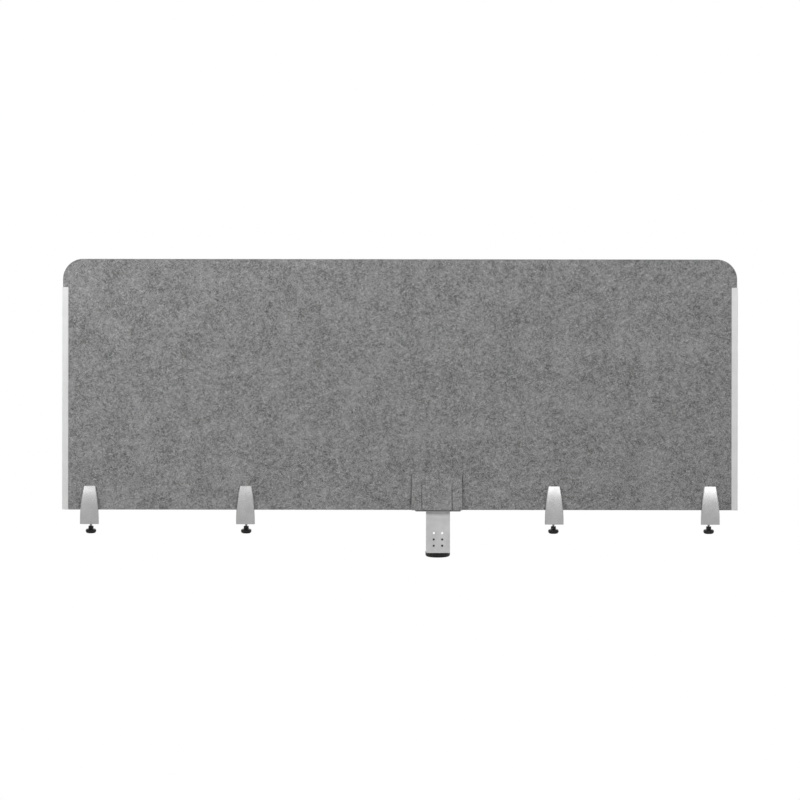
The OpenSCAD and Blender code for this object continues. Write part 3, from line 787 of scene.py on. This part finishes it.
def fluted(profile, flutes, flute_r, flute_depth, grip_r, sides):
    """Radii of a grip's rings: each flute is a cylinder cut from the rim, met in a soft crease."""
    angle = np.linspace(0, 2 * math.pi, sides, endpoint=False)
    step = 2 * math.pi / flutes
    off = np.mod(angle + step / 2, step) - step / 2
    reach = grip_r + flute_r - flute_depth
    inside = flute_r ** 2 - (reach * np.sin(off)) ** 2
    cut = np.where(inside > 0, reach * np.cos(off) - np.sqrt(np.maximum(inside, 0)), 2 * grip_r)
    both = np.stack(np.broadcast_arrays(profile[:, None], cut[None, :]))
    least = both.min(axis=0)
    return least - FLUTE_CREASE * np.log(np.exp((least - both) / FLUTE_CREASE).sum(axis=0))


def add_knob(node, name, knob):
    """A knob lathed about its screw: a fluted round grip with a dished underside, and a hub on top.

    Its half outline runs from the dish's middle to the hub's bore, and each corner has its own radius."""
    low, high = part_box(node)
    grip_r = (high.y - low.y) / 2
    middle = (low + high) / 2
    dish_z = low.z + knob["dish_depth"] * MM
    grip_top = high.z - knob["hub_h"] * MM
    hub_r = knob["hub_r"] * MM
    corners = [(KNOB_CORE_R, dish_z), (grip_r - knob["dish_rim"] * MM, dish_z),
               (grip_r - knob["foot_rim"] * MM, low.z), (grip_r, low.z), (grip_r, grip_top),
               (hub_r, grip_top), (hub_r, high.z), (knob["bore_r"] * MM, high.z)]
    profile = rounded(corners, np.array(knob["radii"]) * MM, KNOB_ARC_STEPS)
    rings = fluted(profile[:, 0], knob["flutes"], knob["flute_r"] * MM, knob["flute_depth"] * MM, grip_r,
                   knob["sides"])
    points, faces = lathe(rings, profile[:, 1], knob["sides"])
    points[:, :2] += (middle.x, middle.y)
    add_piece(name, points, faces, PLASTIC, node)


def add_threaded_rod(node, name, pitch):
    """A screw: rings whose radius follows a vee thread z / pitch - turn, faded out at both chamfered ends."""
    low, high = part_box(node)
    r = (high.x - low.x) / 2
    length = high.z - low.z
    depth = THREAD_DEPTH_SHARE * pitch
    rows = int(length / pitch * THREAD_STEPS)
    z = np.linspace(0, length, rows)
    angle = np.linspace(0, 2 * math.pi, THREAD_SIDES, endpoint=False)
    turn = z[:, None] / pitch - angle[None, :] / (2 * math.pi)
    vee = np.abs(2 * np.mod(turn, 1) - 1)
    crest = np.clip(CREST_GAIN * vee - CREST_DROP, 0, 1)
    radius = r - depth * (1 - crest)
    ends = np.minimum(z, length - z)[:, None]
    radius = np.minimum(radius, r - depth + THREAD_END + ends)
    points, faces = lathe(radius, z, THREAD_SIDES)
    points += ((low.x + high.x) / 2, (low.y + high.y) / 2, low.z)
    add_piece(name, points, faces, STEEL, node, smooth=THREAD_SMOOTH_ANGLE)


# Clamps and bracket

# Softened pieces: the node's name and the piece's, both after the clamp's or the bracket's own,
# the width of its softened edges in millimetres, and its material
CLAMP_PIECES = [
    ("body", "casting", 0.45, CAST),
    ("front_pad", "ear_pad", 0.25, RUBBER),
    ("pressure_plate", "grip_plate", 0.3, STEEL),
    ("set_screws", "socket_screws", 0.2, STEEL),
    ("desk_pad", "jaw_pad", 0.25, RUBBER),
    ("foot", "swivel_foot", 0.3, PLASTIC),
]
BRACKET_PIECES = [
    ("plate", "bent_plate", 0.5, PLATE),
    ("jaw", "lower_jaw", 0.5, PLATE),
    ("foam", "foam_pad", 0.3, RUBBER),
    ("bolts", "jaw_bolts", 0.25, OXIDE),
    ("nut", "weld_nut", 0.4, STEEL),
    ("foot", "swivel_foot", 0.5, PLASTIC),
]


def add_screw_clamp(group, rows, pitch, knob_name, knob):
    """All pieces of one clamp or of the bracket: the softened ones, the screw and its knob."""
    for node, piece, width, material in rows:
        softened(group + "_" + node, group + "_" + piece, width * MM, material)
    add_threaded_rod(group + "_screw", group + "_threaded_rod", pitch)
    add_knob(group + "_knob", group + "_" + knob_name, knob)


# Stage, light and camera

def add_floor():
    """A pale floor below the screen that turns into plain white away from it."""
    mesh = bpy.data.meshes.new("floor")
    corners = [(x * FLOOR_R, y * FLOOR_R, FLOOR_Z) for x, y in ((-1, -1), (1, -1), (1, 1), (-1, 1))]
    mesh.from_pydata(corners, [], [(0, 1, 2, 3)])
    floor = bpy.data.objects.new("floor", mesh)
    bpy.context.scene.collection.objects.link(floor)
    material = bpy.data.materials.new("pale floor")
    material.use_nodes = True
    tree = material.node_tree
    tree.nodes.clear()
    coordinates = tree.nodes.new("ShaderNodeTexCoord")
    flat = new_node(tree, "ShaderNodeVectorMath", operation="MULTIPLY")
    flat.inputs[1].default_value = (1, 1, 0)
    tree.links.new(coordinates.outputs["Object"], flat.inputs[0])
    away = new_node(tree, "ShaderNodeVectorMath", operation="LENGTH")
    tree.links.new(flat.outputs[0], away.inputs[0])
    far = ramp(tree, away.outputs["Value"], FLOOR_CLEAR_R, FLOOR_WHITE_R)
    pale = new_node(tree, "ShaderNodeBsdfDiffuse", color=grey(FLOOR_GREY))
    white = new_node(tree, "ShaderNodeEmission", color=grey(1.0), strength=1.0)
    seen = math_node(tree, "MULTIPLY", far, seen_rays(tree), clamp=True)
    blend = tree.nodes.new("ShaderNodeMixShader")
    output = tree.nodes.new("ShaderNodeOutputMaterial")
    tree.links.new(seen, blend.inputs[0])
    tree.links.new(pale.outputs[0], blend.inputs[1])
    tree.links.new(white.outputs[0], blend.inputs[2])
    tree.links.new(blend.outputs[0], output.inputs["Surface"])
    mesh.materials.append(material)


def seen_rays(tree):
    """1 for rays that show the background: straight from the camera, mirrored or through glass."""
    path = tree.nodes.new("ShaderNodeLightPath")
    either = math_node(tree, "MAXIMUM", path.outputs["Is Camera Ray"], path.outputs["Is Glossy Ray"])
    return math_node(tree, "MAXIMUM", either, path.outputs["Is Transmission Ray"])


def add_world(fill):
    """A white background that lights the object only as a soft fill."""
    world = bpy.data.worlds.new("studio")
    bpy.context.scene.world = world
    world.use_nodes = True
    tree = world.node_tree
    tree.nodes.clear()
    light = new_node(tree, "ShaderNodeBackground", color=grey(1.0), strength=fill)
    white = new_node(tree, "ShaderNodeBackground", color=grey(1.0), strength=1.0)
    blend = tree.nodes.new("ShaderNodeMixShader")
    output = tree.nodes.new("ShaderNodeOutputWorld")
    tree.links.new(seen_rays(tree), blend.inputs[0])
    tree.links.new(light.outputs[0], blend.inputs[1])
    tree.links.new(white.outputs[0], blend.inputs[2])
    tree.links.new(blend.outputs[0], output.inputs["Surface"])


def add_softbox(name, place_at, aim, width, height, power):
    """A soft rectangular lamp that faces a point."""
    lamp = bpy.data.lights.new(name, "AREA")
    lamp.shape = "RECTANGLE"
    lamp.size = width
    lamp.size_y = height
    lamp.energy = power
    box = bpy.data.objects.new(name, lamp)
    box.location = place_at
    box.rotation_euler = (Vector(aim) - Vector(place_at)).to_track_quat("-Z", "Y").to_euler()
    bpy.context.scene.collection.objects.link(box)


def add_camera():
    """Looks square on at the screen's outer side from the height of its upper edge."""
    low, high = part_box("felt_panel")
    data = bpy.data.cameras.new("camera")
    data.lens = CAMERA_LENS
    data.sensor_width = CAMERA_SENSOR
    data.shift_y = CAMERA_SHIFT
    data.clip_end = CAMERA_REACH
    camera = bpy.data.objects.new("camera", data)
    camera.location = (CAMERA_X, low.y - CAMERA_DISTANCE, high.z)
    camera.rotation_euler = (math.radians(90), CAMERA_ROLL, 0)
    bpy.context.scene.collection.objects.link(camera)
    bpy.context.scene.camera = camera


add_camera()
add_floor()
add_world(WORLD_FILL)
for lamp in LAMPS:
    add_softbox(*lamp)

add_felt()
add_trim("left_edge_trim", -1)
add_trim("right_edge_trim", 1)
for clamp in CLAMPS:
    add_screw_clamp(clamp, CLAMP_PIECES, CLAMP_PITCH, "star_knob", CLAMP_KNOB)
add_screw_clamp("bracket", BRACKET_PIECES, BRACKET_PITCH, "round_knob", BRACKET_KNOB)

bpy.context.scene.view_settings.view_transform = "Standard"
